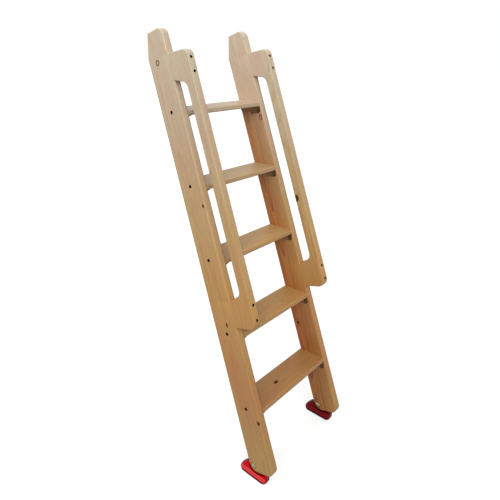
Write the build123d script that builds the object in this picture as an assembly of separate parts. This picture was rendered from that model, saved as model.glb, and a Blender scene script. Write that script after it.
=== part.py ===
"""Leaning bunk bed ladder in pine: two stringers with slotted handrails, five flat treads and red feet.

Millimetres, +Z up. X runs along the treads, from the left stringer to the right one as a climber
sees them. The climber stands at -Y and the bed is at +Y. The origin is the centre of the left
stringer's plumb cut, the upright face that rests on the bed.
"""
from build123d import *
import math
import os

os.makedirs("parts", exist_ok=True)

# Overall
lean = 18.8
inner_width = 363.0
floor_clearance = 27.0
cut_overrun = 1.0

# Stringers
board_thickness = 28.0
stringer_depth = 103.5
stringer_length = 1526.0
plumb_cut_depth = 30.0
top_corner_radius = 28.0
heel_radius = 32.0
toe_radius = 20.0
board_edge_radius = 3.0

# Handrails
slot_width = 55.5
grip_depth = 36.0
rail_foot = 511.0
rail_foot_fall = 4.0
rail_foot_radius = 24.0
rail_head_drop = 93.0
rail_head_fall = 13.0
rail_head_radius = 22.0
slot_foot_rise = 92.0
slot_foot_slope = 16.0
slot_foot_radius = 26.0
slot_head_drop = 184.0
slot_head_slope = 22.0
slot_head_radius = 28.0

# Treads
tread_count = 5
first_tread_height = 269.0
first_rise = 246.0
tread_rise = 240.0
tread_thickness = 18.0
tread_setback = 1.0
tread_edge_radius = 4.0

# Bolt through each stringer into the end of each tread
bolt_radius = 3.0
bolt_clearance = 0.1
bolt_head_radius = 5.5
bolt_head_clearance = 0.5
bolt_head_height = 4.0
bolt_recess = 5.0
bolt_grip = 45.0
bolt_forward = 58.0
bolt_key_radius = 2.3
bolt_key_depth = 2.5

# Angle bracket under each end of each tread
bracket_sheet = 2.5
bracket_height = 25.0
bracket_width = 22.0
bracket_length = 95.5
bracket_start = 15.5
bracket_corner = 9.0
bracket_shelf_margin = 5.0
bracket_hole_radius = 2.3
bracket_end_inset = 7.0
bracket_side_inset = 8.0
bracket_hole_drop = 14.0

# Screws that hold the handrail blocks on the stringers' front edges
rail_screw_foot_margin = 26.0
rail_screw_foot_pitch = 50.0
rail_screw_head_margin = 41.0
rail_screw_head_pitch = 46.0
rail_screw_radius = 2.5
rail_screw_head_radius = 4.5
rail_screw_head_height = 3.5
rail_screw_recess = 7.0
rail_screw_bite = 40.0
rail_screw_slot = 2.0

# Barrel nut for the bed bolt, in the outer face of each stringer
bed_nut_forward = 44.0
bed_nut_drop = 106.0
bed_nut_radius = 6.0
bed_nut_length = 16.0
bed_nut_slot = 1.6
bed_bolt_radius = 3.25
bed_bolt_blind = 4.0

# Feet
foot_width = 32.0
foot_edge_radius = 7.0
foot_lip_up = 38.0
foot_bulge = 50.5
foot_bulge_sag = 11.0
foot_base_radius = 10.0
foot_toe_setback = 25.0
foot_front_radius = 44.0

# Bar nut across each heel, which a foot's screw pulls on
foot_nut_forward = 18.5
foot_nut_up = 25.0
foot_nut_length = 17.0
foot_nut_width = 8.0
foot_nut_corner = 1.5
foot_nut_turn = -40.0

lean_sin = math.sin(math.radians(lean))
lean_cos = math.cos(math.radians(lean))
half_board = board_thickness / 2
side_offset = inner_width + board_thickness
sides = {"left": 0.0, "right": side_offset}
outward = {"left": -1.0, "right": 1.0}

# The plumb cut takes plumb_cut_depth off the stringer's back edge at its top end.
plumb_cut_up = plumb_cut_depth * lean_cos / lean_sin
plumb_middle_forward = plumb_cut_depth / 2
plumb_middle_up = stringer_length - plumb_cut_up / 2


def place(forward, up):
    """Gives the Y and Z of a point in a stringer, forward of its back edge and up along it."""
    f = forward - plumb_middle_forward
    u = up - plumb_middle_up
    return (-f * lean_cos + u * lean_sin, f * lean_sin + u * lean_cos)


heel_y, heel_z = place(0, 0)
floor_z = heel_z - floor_clearance


def back_edge_y(z):
    """Gives the Y of the stringers' back edge line at a height."""
    return heel_y + (z - heel_z) * lean_sin / lean_cos


def board_plane(x):
    """Gives the drawing plane of a board: its X runs forward, its Y runs up the stringer."""
    return Plane(
        origin=(x, heel_y, heel_z),
        x_dir=(0, -lean_cos, lean_sin),
        z_dir=(-1, 0, 0),
    )


def corner_at(shape, forward, up):
    """Finds the corner of a sketch nearest to a point."""
    return shape.vertices().sort_by_distance(Vector(forward, up, 0))[0]


def rounded_outline(points):
    """Makes a closed face from (forward, up, radius) points, rounding each corner with a radius."""
    shape = make_face(Polyline(*[(p[0], p[1]) for p in points], close=True))
    for forward, up, radius in points:
        if radius > 0:
            shape = fillet(corner_at(shape, forward, up), radius)
    return shape


def board_from(outline, x, thickness):
    """Makes a board of a thickness about a plane at x from an outline."""
    return extrude(board_plane(x) * outline, thickness / 2, both=True)


def forward_of(point):
    """Gives how far forward of the stringers' back edge line a point lies."""
    return -(point.Y - heel_y) * lean_cos + (point.Z - heel_z) * lean_sin


def rod(start, direction, radius, length):
    """Makes a round rod from a start point along a direction."""
    return extrude(Plane(origin=start, z_dir=direction) * Circle(radius), length)


def tread_top(number):
    """Gives the height of a tread's top face; tread 1 is the highest, and the lowest rise differs."""
    height = first_tread_height
    if number < tread_count:
        height += first_rise + (tread_count - 1 - number) * tread_rise
    return floor_z + height


tread_depth = stringer_depth / lean_cos - tread_setback

stringer_outline = rounded_outline([
    (0, 0, heel_radius),
    (stringer_depth, 0, toe_radius),
    (stringer_depth, stringer_length, top_corner_radius),
    (plumb_cut_depth, stringer_length, 0),
    (0, stringer_length - plumb_cut_up, 0),
])

grip_back = stringer_depth + slot_width
rail_front = grip_back + grip_depth
rail_head = stringer_length - rail_head_drop
rail_outline = rounded_outline([
    (stringer_depth, rail_foot, 0),
    (rail_front, rail_foot - rail_foot_fall, rail_foot_radius),
    (rail_front, rail_head - rail_head_fall, rail_head_radius),
    (stringer_depth, rail_head, 0),
])

slot_foot = rail_foot + slot_foot_rise
slot_head = stringer_length - slot_head_drop
slot_outline = rounded_outline([
    (stringer_depth, slot_foot, 0),
    (grip_back, slot_foot + slot_foot_slope, slot_foot_radius),
    (grip_back, slot_head - slot_head_slope, slot_head_radius),
    (stringer_depth, slot_head, 0),
])

low_screw_row = rail_foot + rail_screw_foot_margin
high_screw_row = rail_head - rail_screw_head_margin
rail_screw_rows = (
    low_screw_row,
    low_screw_row + rail_screw_foot_pitch,
    high_screw_row - rail_screw_head_pitch,
    high_screw_row,
)


def foot_nut_solid(x, thickness):
    """Makes the flat bar nut that lies across the heel of a stringer."""
    centre = Location((foot_nut_forward, foot_nut_up, 0), (0, 0, foot_nut_turn))
    outline = centre * RectangleRounded(foot_nut_length, foot_nut_width, foot_nut_corner)
    return board_from(outline, x, thickness)


def tread_bolt_seat(side, number):
    """Gives the point under a tread bolt's head, at half the tread's thickness."""
    top = tread_top(number)
    outer_x = sides[side] + outward[side] * half_board
    x = outer_x - outward[side] * (bolt_recess + bolt_head_height)
    return (x, back_edge_y(top) - bolt_forward, top - tread_thickness / 2)


def tread_bolt(side, number):
    """Makes a socket-head bolt from a stringer's outer face into a tread's end."""
    sign = outward[side]
    x, y, z = tread_bolt_seat(side, number)
    head = rod((x, y, z), (sign, 0, 0), bolt_head_radius, bolt_head_height)
    key_start = (x + sign * (bolt_head_height - bolt_key_depth), y, z)
    key_plane = Plane(origin=key_start, z_dir=(sign, 0, 0))
    head -= extrude(key_plane * RegularPolygon(bolt_key_radius, 6), bolt_key_depth)
    return head + rod((x, y, z), (-sign, 0, 0), bolt_radius, bolt_grip)


def tread_bolt_hole(side, number, radius):
    """Makes the stepped hole that a tread bolt needs."""
    sign = outward[side]
    seat = tread_bolt_seat(side, number)
    depth = bolt_recess + bolt_head_height + cut_overrun
    head_room = rod(seat, (sign, 0, 0), bolt_head_radius + bolt_head_clearance, depth)
    return head_room + rod(seat, (-sign, 0, 0), radius, bolt_grip)


def rail_screw_seat(x, up):
    """Gives the point under a handrail screw's head."""
    y, z = place(rail_front - rail_screw_recess - rail_screw_head_height, up)
    return (x, y, z)


to_front = (0, -lean_cos, lean_sin)
to_back = (0, lean_cos, -lean_sin)
rail_screw_reach = slot_width + grip_depth - rail_screw_recess - rail_screw_head_height + rail_screw_bite


def rail_screw(x, up):
    """Makes a slotted screw that runs back through a handrail block into the stringer."""
    seat = rail_screw_seat(x, up)
    head = rod(seat, to_front, rail_screw_head_radius, rail_screw_head_height)
    slot = Box(rail_screw_head_radius * 3, rail_screw_slot, rail_screw_slot)
    top = Vector(seat) + Vector(to_front) * rail_screw_head_height
    head -= Location(Plane(origin=top, x_dir=(1, 0, 0), z_dir=to_front)) * slot
    return head + rod(seat, to_back, rail_screw_radius, rail_screw_reach)


def rail_screw_hole(x, up):
    """Makes the stepped hole that a handrail screw needs."""
    seat = rail_screw_seat(x, up)
    depth = rail_screw_recess + rail_screw_head_height + cut_overrun
    head_room = rod(seat, to_front, rail_screw_head_radius, depth)
    return head_room + rod(seat, to_back, rail_screw_radius, rail_screw_reach)


def bed_nut_start(side):
    """Gives the middle of a barrel nut's visible end, flush with the stringer's outer face."""
    y, z = place(bed_nut_forward, stringer_length - bed_nut_drop)
    return (sides[side] + outward[side] * half_board, y, z)


def bed_bolt_way(side):
    """Makes the way of the bed bolt: level, from just forward of the nut out through the back edge."""
    x, y, z = bed_nut_start(side)
    blind_end = (sides[side], y - bed_nut_radius - bed_bolt_blind, z)
    return rod(blind_end, (0, 1, 0), bed_bolt_radius, stringer_depth)


def bed_nut(side):
    """Makes the barrel nut in a stringer's outer face, with its cross hole for the bed bolt."""
    start = bed_nut_start(side)
    nut = rod(start, (-outward[side], 0, 0), bed_nut_radius, bed_nut_length)
    driver = Box(bed_nut_slot, bed_nut_radius * 3, bed_nut_slot)
    return nut - bed_bolt_way(side) - Location(start) * driver


def bed_nut_hole(side):
    """Makes the blind hole of the barrel nut together with the bolt way that meets it."""
    start = bed_nut_start(side)
    return rod(start, (-outward[side], 0, 0), bed_nut_radius, bed_nut_length) + bed_bolt_way(side)


def stringer(side):
    """Makes a stringer with its plumb cut, rounded ends and every hole."""
    x = sides[side]
    board = board_from(stringer_outline, x, board_thickness)
    rims = board.faces().filter_by(Axis.X).edges()
    away_from_plumb_cut = [e for e in rims if e.center().Y < -cut_overrun]
    board = fillet(away_from_plumb_cut, board_edge_radius)
    for number in range(1, tread_count + 1):
        board -= tread_bolt_hole(side, number, bolt_radius + bolt_clearance)
    for up in rail_screw_rows:
        board -= rail_screw_hole(x, up)
    board -= bed_nut_hole(side)
    return board - foot_nut_solid(x, board_thickness)


def handrail(side):
    """Makes a handrail board: two end blocks joined by a grip, with the hand slot between."""
    x = sides[side]
    board = board_from(rail_outline, x, board_thickness)
    board -= board_from(slot_outline, x, board_thickness + cut_overrun)
    rims = board.faces().filter_by(Axis.X).edges()
    off_the_stringer = [e for e in rims if forward_of(e.center()) > stringer_depth + cut_overrun]
    board = fillet(off_the_stringer, board_edge_radius)
    for up in rail_screw_rows:
        board -= rail_screw_hole(x, up)
    return board


def tread(number):
    """Makes a tread: a flat board with eased long edges and a blind hole in each end."""
    top = tread_top(number)
    y = back_edge_y(top) - tread_depth / 2
    board = Box(inner_width, tread_depth, tread_thickness)
    board = fillet(board.edges().filter_by(Axis.X), tread_edge_radius)
    board = Location((side_offset / 2, y, top - tread_thickness / 2)) * board
    for side in sides:
        board -= tread_bolt_hole(side, number, bolt_radius)
    return board


def bracket(side, number):
    """Makes the angle bracket under one end of a tread: an upright leaf and a shorter shelf."""
    inward = -outward[side]
    under = tread_top(number) - tread_thickness
    face_x = sides[side] + inward * half_board
    middle_y = back_edge_y(tread_top(number)) - bracket_start - bracket_length / 2
    shelf_length = bracket_length - 2 * bracket_shelf_margin
    leaf = extrude(Plane.YZ * Rectangle(bracket_length, bracket_height), bracket_sheet / 2, both=True)
    leaf = fillet(leaf.edges().filter_by(Axis.X).group_by(Axis.Z)[0], bracket_corner)
    shelf = extrude(Plane.XY * Rectangle(bracket_width, shelf_length), bracket_sheet / 2, both=True)
    free_side = -1 if inward > 0 else 0
    shelf = fillet(shelf.edges().filter_by(Axis.Z).group_by(Axis.X)[free_side], bracket_corner)
    leaf_place = (face_x + inward * bracket_sheet / 2, middle_y, under - bracket_height / 2)
    shelf_place = (face_x + inward * bracket_width / 2, middle_y, under - bracket_sheet / 2)
    angle = Location(leaf_place) * leaf + Location(shelf_place) * shelf
    through = bracket_sheet + 2 * cut_overrun
    for end in (-1, 1):
        y = middle_y + end * (bracket_length / 2 - bracket_end_inset)
        start = (face_x - inward * cut_overrun, y, under - bracket_hole_drop)
        angle -= rod(start, (inward, 0, 0), bracket_hole_radius, through)
        y = middle_y + end * (shelf_length / 2 - 2 * bracket_end_inset)
        x = face_x + inward * (bracket_width - bracket_side_inset)
        angle -= rod((x, y, under + cut_overrun), (0, 0, -1), bracket_hole_radius, through)
    return angle


def foot(side):
    """Makes a foot: a boat-shaped saddle with a flat sole that hugs the rounded heel of a stringer."""
    x = sides[side]
    lip = place(0, foot_lip_up)
    bulge = (heel_y + foot_bulge, floor_z)
    chord = Vector(*bulge) - Vector(*lip)
    crown = Vector(*lip) + chord / 2 + Vector(-chord.Y, chord.X).normalized() * foot_bulge_sag
    front_y, front_z = place(stringer_depth - foot_toe_setback, 0)
    base_front = (front_y + foot_front_radius, floor_z)
    front_low = (front_y, floor_z + foot_front_radius)
    outline = make_face([
        ThreePointArc(lip, (crown.X, crown.Y), bulge),
        Line(bulge, base_front),
        TangentArc(base_front, front_low, tangent=(-1, 0)),
        Line(front_low, (front_y, front_z)),
        Line((front_y, front_z), lip),
    ])
    outline = fillet(corner_at(outline, *bulge), foot_base_radius)
    body = extrude(Plane.YZ * outline, foot_width / 2, both=True)
    rims = body.faces().filter_by(Axis.X).edges()
    body = fillet([e for e in rims if e.center().Z < front_z], foot_edge_radius)
    body = Location((x, 0, 0)) * body
    return body - board_from(stringer_outline, x, foot_width * 2)


def save(shape, node):
    """Writes one node as a STEP file and prints its volume."""
    solids = shape.solids()
    if len(solids) != 1:
        raise ValueError(node + " has " + str(len(solids)) + " solids")
    solid = solids[0]
    solid.label = node
    export_step(solid, "parts/" + node + ".step")
    print(node, "volume cm3", round(solid.volume / 1000, 2))


for side in sides:
    save(stringer(side), side + "_stringer")
    save(handrail(side), side + "_handrail")
    save(foot(side), side + "_foot")
    save(foot_nut_solid(sides[side], board_thickness), side + "_foot_nut")
    save(bed_nut(side), side + "_bed_nut")
    for index, up in enumerate(rail_screw_rows, start=1):
        save(rail_screw(sides[side], up), side + "_handrail_screw_" + str(index))

for number in range(1, tread_count + 1):
    save(tread(number), "tread_" + str(number))
    for side in sides:
        save(tread_bolt(side, number), side + "_tread_bolt_" + str(number))
        save(bracket(side, number), side + "_tread_bracket_" + str(number))

print("floor", round(floor_z, 2), "heel", round(heel_y, 2), round(heel_z, 2))
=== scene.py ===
"""Studio scene for a leaning bunk bed ladder in clear-varnished pine, with steel fittings and red feet.

Blender's metres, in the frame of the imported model: X runs along the treads, -Y is the climber's side,
+Z is up. Sizes inside the classes are in millimetres and are turned to metres where a mesh is finished.
"""
import logging
import math
from dataclasses import dataclass
from enum import Enum
from functools import partial, reduce
from typing import Any, Callable, Iterable, Mapping, Optional, Sequence, Union

import bmesh
import bpy
from mathutils import Matrix, Vector


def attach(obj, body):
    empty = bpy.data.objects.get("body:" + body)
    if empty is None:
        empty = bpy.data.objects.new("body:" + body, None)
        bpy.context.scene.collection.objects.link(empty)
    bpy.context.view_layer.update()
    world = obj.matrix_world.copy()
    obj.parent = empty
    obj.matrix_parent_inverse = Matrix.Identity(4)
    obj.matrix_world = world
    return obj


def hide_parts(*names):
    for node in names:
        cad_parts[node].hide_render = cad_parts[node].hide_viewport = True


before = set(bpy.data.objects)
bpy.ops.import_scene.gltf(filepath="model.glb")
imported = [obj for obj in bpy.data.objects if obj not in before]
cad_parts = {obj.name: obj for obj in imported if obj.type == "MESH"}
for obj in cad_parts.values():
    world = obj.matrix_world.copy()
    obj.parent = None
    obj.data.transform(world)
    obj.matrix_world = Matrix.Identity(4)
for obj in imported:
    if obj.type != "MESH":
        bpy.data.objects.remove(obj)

LOG = logging.getLogger("bunk_ladder")
MM = 0.001
# Lengths that differ by less, in millimetres, count as the same.
NEAR = 0.01
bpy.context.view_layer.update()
BODY = "root"
# The material number of the faces that a cutter leaves behind.
BORE_SLOT = 1
# Faces that meet at a larger angle keep a sharp edge between them.
SHARP_ANGLE = math.radians(40.0)
# The mark of a rounding with painted shade, inside it and where it meets a flat face.
EDGE_SHADE_FULL = 1.0
EDGE_SHADE_AT_FLAT = 0.25

Colour = tuple[float, float, float, float]
Point = tuple[float, float, float]
Pair = tuple[float, float]
# A hole's start, direction, radius and length, in millimetres.
Hole = tuple[Vector, Vector, float, float]
WHITE = (1.0, 1.0, 1.0, 1.0)
Edge = bmesh.types.BMEdge
Material = bpy.types.Material
Node = bpy.types.Node
Piece = bpy.types.Object
Socket = bpy.types.NodeSocket
Tree = bpy.types.NodeTree
Vert = bmesh.types.BMVert
Work = bmesh.types.BMesh
# A node given as a source stands for its first output.
Source = Union[Node, Socket]


def linear_rgba(hex_colour: str) -> Colour:
    """Turns an sRGB hex colour into Blender's linear red, green, blue and alpha.

    Args:
        hex_colour: Six hex digits after a hash sign.

    Returns:
        The linear colour with an alpha of 1.
    """
    channels = [int(hex_colour[i:i + 2], 16) / 255 for i in (1, 3, 5)]
    linear = [c / 12.92 if c <= 0.04045 else ((c + 0.055) / 1.055) ** 2.4 for c in channels]
    return (linear[0], linear[1], linear[2], 1.0)


def wire(tree: Tree, node: Node, values: Optional[Mapping[Any, Any]] = None,
         links: Optional[Mapping[Any, Source]] = None) -> None:
    """Sets a node's input values and links sources into its inputs.

    Args:
        tree: The node tree.
        node: The node that gets them.
        values: Default values by input socket name or number.
        links: Sources to link in, by input socket name or number.
    """
    for key, value in (values or {}).items():
        node.inputs[key].default_value = value
    for key, source in (links or {}).items():
        tree.links.new(source.outputs[0] if isinstance(source, Node) else source, node.inputs[key])


def add_node(tree: Tree, kind: str, values: Optional[Mapping[Any, Any]] = None,
             links: Optional[Mapping[Any, Source]] = None, **settings: Any) -> Node:
    """Adds one node with its settings, socket values and incoming links.

    Args:
        tree: The node tree that gets the node.
        kind: The node's type name, without its ShaderNode prefix.
        values: Default values by input socket name or number.
        links: Sources to link in, by input socket name or number.
        settings: The node's own properties.

    Returns:
        The new node.
    """
    node = tree.nodes.new("ShaderNode" + kind)
    for name, value in settings.items():
        setattr(node, name, value)
    wire(tree, node, values, links)
    return node


def gathered(tree: Tree, operation: str, sources: Sequence[Source]) -> Source:
    """Joins numbers one after the other by a Math operation and gives the last result."""
    return reduce(
        lambda first, second: add_node(tree, "Math", links={0: first, 1: second}, operation=operation),
        sources)


def set_ramp(node: Node, stops: Sequence[tuple[float, Colour]]) -> None:
    """Gives a Color Ramp node its stops.

    Args:
        node: The ramp.
        stops: Positions from 0 to 1 with their linear colours.
    """
    elements = node.color_ramp.elements
    while len(elements) > 1:
        elements.remove(elements[-1])
    elements[0].position, elements[0].color = stops[0]
    for position, colour in stops[1:]:
        elements.new(position).color = colour


def new_material(name: str) -> tuple[Material, Tree, Node]:
    """Starts a material and gives it with its tree and its Principled shader."""
    material = bpy.data.materials.new(name)
    material.use_nodes = True
    tree = material.node_tree
    return material, tree, tree.nodes["Principled BSDF"]


def new_group(name: str, vectors: Sequence[str], numbers: Sequence[str],
              results: Sequence[str]) -> tuple[Tree, Node, Node]:
    """Starts a node group.

    Args:
        name: The group's name.
        vectors: Its vector inputs.
        numbers: Its number inputs.
        results: Its outputs, all of them numbers.

    Returns:
        The group, its input node and its output node.
    """
    group = bpy.data.node_groups.new(name, "ShaderNodeTree")
    for names, way, kind in ((vectors, "INPUT", "Vector"), (numbers, "INPUT", "Float"),
                             (results, "OUTPUT", "Float")):
        for each in names:
            group.interface.new_socket(each, in_out=way, socket_type="NodeSocket" + kind)
    return group, group.nodes.new("NodeGroupInput"), group.nodes.new("NodeGroupOutput")


def millimetres(tree: Tree, turn: Point = (0.0, 0.0, 0.0), shift: Point = (0.0, 0.0, 0.0)) -> Node:
    """Adds the object's own place in millimetres.

    Args:
        tree: The material's tree.
        turn: How it is turned first.
        shift: What is added then, in millimetres.

    Returns:
        The node that gives the place.
    """
    place = add_node(tree, "TexCoord")
    scale = (1 / MM, 1 / MM, 1 / MM)
    return add_node(tree, "Mapping", {"Scale": scale, "Rotation": turn, "Location": shift},
                    {0: place.outputs["Object"]})


def height_in_frame(tree: Tree) -> Socket:
    """Adds the height in the frame, in metres."""
    place = add_node(tree, "TexCoord")
    return add_node(tree, "SeparateXYZ", links={0: place.outputs["Object"]}).outputs["Z"]


class Side(Enum):
    """The two sides of the ladder, as a climber sees them."""

    LEFT = "left"
    RIGHT = "right"

    @property
    def outward(self) -> float:
        """Gives the X direction that points away from the treads."""
        return -1.0 if self is Side.LEFT else 1.0


class KnotKind(Enum):
    """How a knot or mark looks."""

    SOUND = "sound"
    FAINT = "faint"
    DARK_RING = "dark_ring"


@dataclass(frozen=True)
class Lean:
    """The ladder's slope and the main sizes that every board is placed by, in millimetres."""

    degrees: float = 18.8
    board_thickness: float = 28.0
    stringer_depth: float = 103.5
    stringer_length: float = 1526.0
    plumb_cut_depth: float = 30.0
    inner_width: float = 363.0
    floor_clearance: float = 27.0

    @property
    def sine(self) -> float:
        """Gives the sine of the slope."""
        return math.sin(math.radians(self.degrees))

    @property
    def cosine(self) -> float:
        """Gives the cosine of the slope."""
        return math.cos(math.radians(self.degrees))

    @property
    def plumb_cut_up(self) -> float:
        """Gives how much of the back edge the plumb cut takes."""
        return self.plumb_cut_depth * self.cosine / self.sine

    def place(self, forward: float, up: float) -> Pair:
        """Gives the Y and Z of a point in a stringer.

        Args:
            forward: Distance from the back edge towards the climber.
            up: Distance along the stringer from its foot.

        Returns:
            Y and Z in millimetres.
        """
        f = forward - self.plumb_cut_depth / 2
        u = up - (self.stringer_length - self.plumb_cut_up / 2)
        return (-f * self.cosine + u * self.sine, f * self.sine + u * self.cosine)

    def centre_x(self, side: Side) -> float:
        """Gives the X of a stringer's middle plane."""
        return 0.0 if side is Side.LEFT else self.inner_width + self.board_thickness

    def board_matrix(self, side: Side) -> Matrix:
        """Gives the matrix from (across, -forward, up) in millimetres to the frame in metres."""
        y, z = self.place(0.0, 0.0)
        return Matrix((
            (MM, 0.0, 0.0, self.centre_x(side) * MM),
            (0.0, self.cosine * MM, self.sine * MM, y * MM),
            (0.0, -self.sine * MM, self.cosine * MM, z * MM),
            (0.0, 0.0, 0.0, 1.0),
        ))

    def board_mapping(self, side: Side) -> tuple[Point, Point]:
        """Gives the turn and the shift that bring a place in the frame to a leaning board's own place."""
        shift_up = self.stringer_length - self.plumb_cut_up / 2
        return ((math.radians(self.degrees), 0.0, 0.0),
                (-self.centre_x(side), -self.plumb_cut_depth / 2, shift_up))

    @property
    def floor(self) -> float:
        """Gives the height of the floor in millimetres."""
        return self.place(0.0, 0.0)[1] - self.floor_clearance

    def back_edge(self, height: float) -> float:
        """Gives the Y of the stringers' back edge at a height, in millimetres."""
        heel_y, heel_z = self.place(0.0, 0.0)
        return heel_y + (height - heel_z) * self.sine / self.cosine


LEAN = Lean()


@dataclass(frozen=True)
class TreadRow:
    """The heights of the five treads, in millimetres."""

    count: int = 5
    first_height: float = 269.0
    first_rise: float = 246.0
    rise: float = 240.0
    thickness: float = 18.0
    setback: float = 1.0

    def top(self, number: int) -> float:
        """Gives the height of a tread's top face; tread 1 is the highest."""
        height = self.first_height
        if number < self.count:
            height += self.first_rise + (self.count - 1 - number) * self.rise
        return LEAN.floor + height

    @property
    def depth(self) -> float:
        """Gives the depth of a tread from its back to its front edge."""
        return LEAN.stringer_depth / LEAN.cosine - self.setback


ROW = TreadRow()


@dataclass(frozen=True)
class Rail:
    """The handrail board's side view: places up the stringer and forward of its back edge."""

    foot: float = 511.0
    foot_at_front: float = 507.0
    slot_foot: float = 603.0
    slot_foot_at_front: float = 619.0
    slot_head_at_front: float = 1320.0
    slot_head: float = 1342.0
    head_at_front: float = 1420.0
    head: float = 1433.0
    slot_front: float = 159.0
    front: float = 195.0

    @property
    def grip_middle(self) -> float:
        """Gives the middle of the grip between the slot and the front."""
        return (self.slot_front + self.front) / 2


RAIL = Rail()


@dataclass(frozen=True)
class Fastening:
    """Where the bolts, screws and nuts sit in the boards, in millimetres."""

    bolt_forward: float = 58.0
    bolt_recess: float = 9.0
    bolt_recess_radius: float = 6.0
    rail_screw_rows: tuple[float, ...] = (537.0, 587.0, 1346.0, 1392.0)
    rail_screw_recess: float = 10.5
    rail_screw_radius: float = 5.0
    bed_nut_forward: float = 44.0
    bed_nut_up: float = 1420.0
    bed_nut_gap_radius: float = 6.6
    bed_nut_depth: float = 16.0
    foot_nut_forward: float = 18.5
    foot_nut_up: float = 25.0
    foot_nut_length: float = 21.4
    foot_nut_width: float = 12.4
    foot_nut_corner: float = 2.0
    foot_nut_turn: float = -40.0
    # How far a cutter stands out of the wood that it cuts.
    overrun: float = 1.0


FASTENING = Fastening()


@dataclass(frozen=True)
class Knot:
    """A knot through a board, or a dark ring about a fitting, in millimetres on the board."""

    forward: float
    along: float
    radius: float
    stretch: float = 1.3
    kind: KnotKind = KnotKind.SOUND


@dataclass(frozen=True)
class Grain:
    """How one board was sawn from its tree."""

    pith: Pair
    tilt: Pair
    seed: float
    knots: tuple[Knot, ...] = ()
    # The X of the board's face that gets painted shade between the treads, or 0 for none.
    painted_shade_face: float = 0.0


@dataclass(frozen=True)
class Paint:
    """A colour that tints what lies under it, or covers it."""

    colour: str
    amount: float = 1.0
    covers: bool = False

    def over(self, tree: Tree, under: Source, mask: Optional[Source] = None) -> Socket:
        """Lays the paint over a colour.

        Args:
            tree: The material's tree.
            under: The colour under it.
            mask: Where it lies, or None for everywhere.

        Returns:
            The new colour.
        """
        mix = add_node(tree, "Mix", {0: self.amount, 7: linear_rgba(self.colour)}, {6: under},
                       data_type="RGBA", blend_type="MIX" if self.covers else "MULTIPLY")
        if mask is not None:
            share = add_node(tree, "Math", {1: self.amount}, {0: mask}, operation="MULTIPLY",
                             use_clamp=True)
            wire(tree, mix, links={0: share})
        return mix.outputs[2]


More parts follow.
